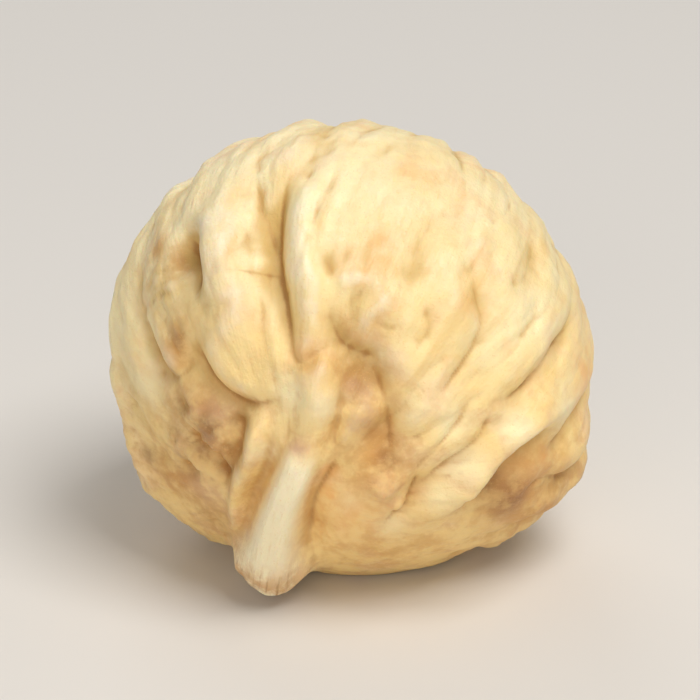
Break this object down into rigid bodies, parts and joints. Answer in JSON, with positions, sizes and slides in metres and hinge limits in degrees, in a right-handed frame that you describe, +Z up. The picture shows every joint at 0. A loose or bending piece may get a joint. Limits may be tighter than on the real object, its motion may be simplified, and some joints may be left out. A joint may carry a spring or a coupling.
{
  "type": "dried fig",
  "caption": "Whole air-dried fig, pale straw and deeply wrinkled, with its bent stalk stub in front and its eye behind, lying on a small flat spot.",
  "frame": {"origin": "Middle of the flat spot that the fruit rests on, straight under the middle of its body.", "axes": "+Z up from the flat spot; +Y from the stalk side towards the eye side, as it is seen from the front; +X to the right of that view, along the widest way across the fruit."},
  "size_m": [0.0267, 0.0243, 0.0251],
  "materials": {
    "fig_skin": "satin"
  },
  "bodies": {
    "root": {"dried_fig": "fig_skin"}
  },
  "joints": []
}
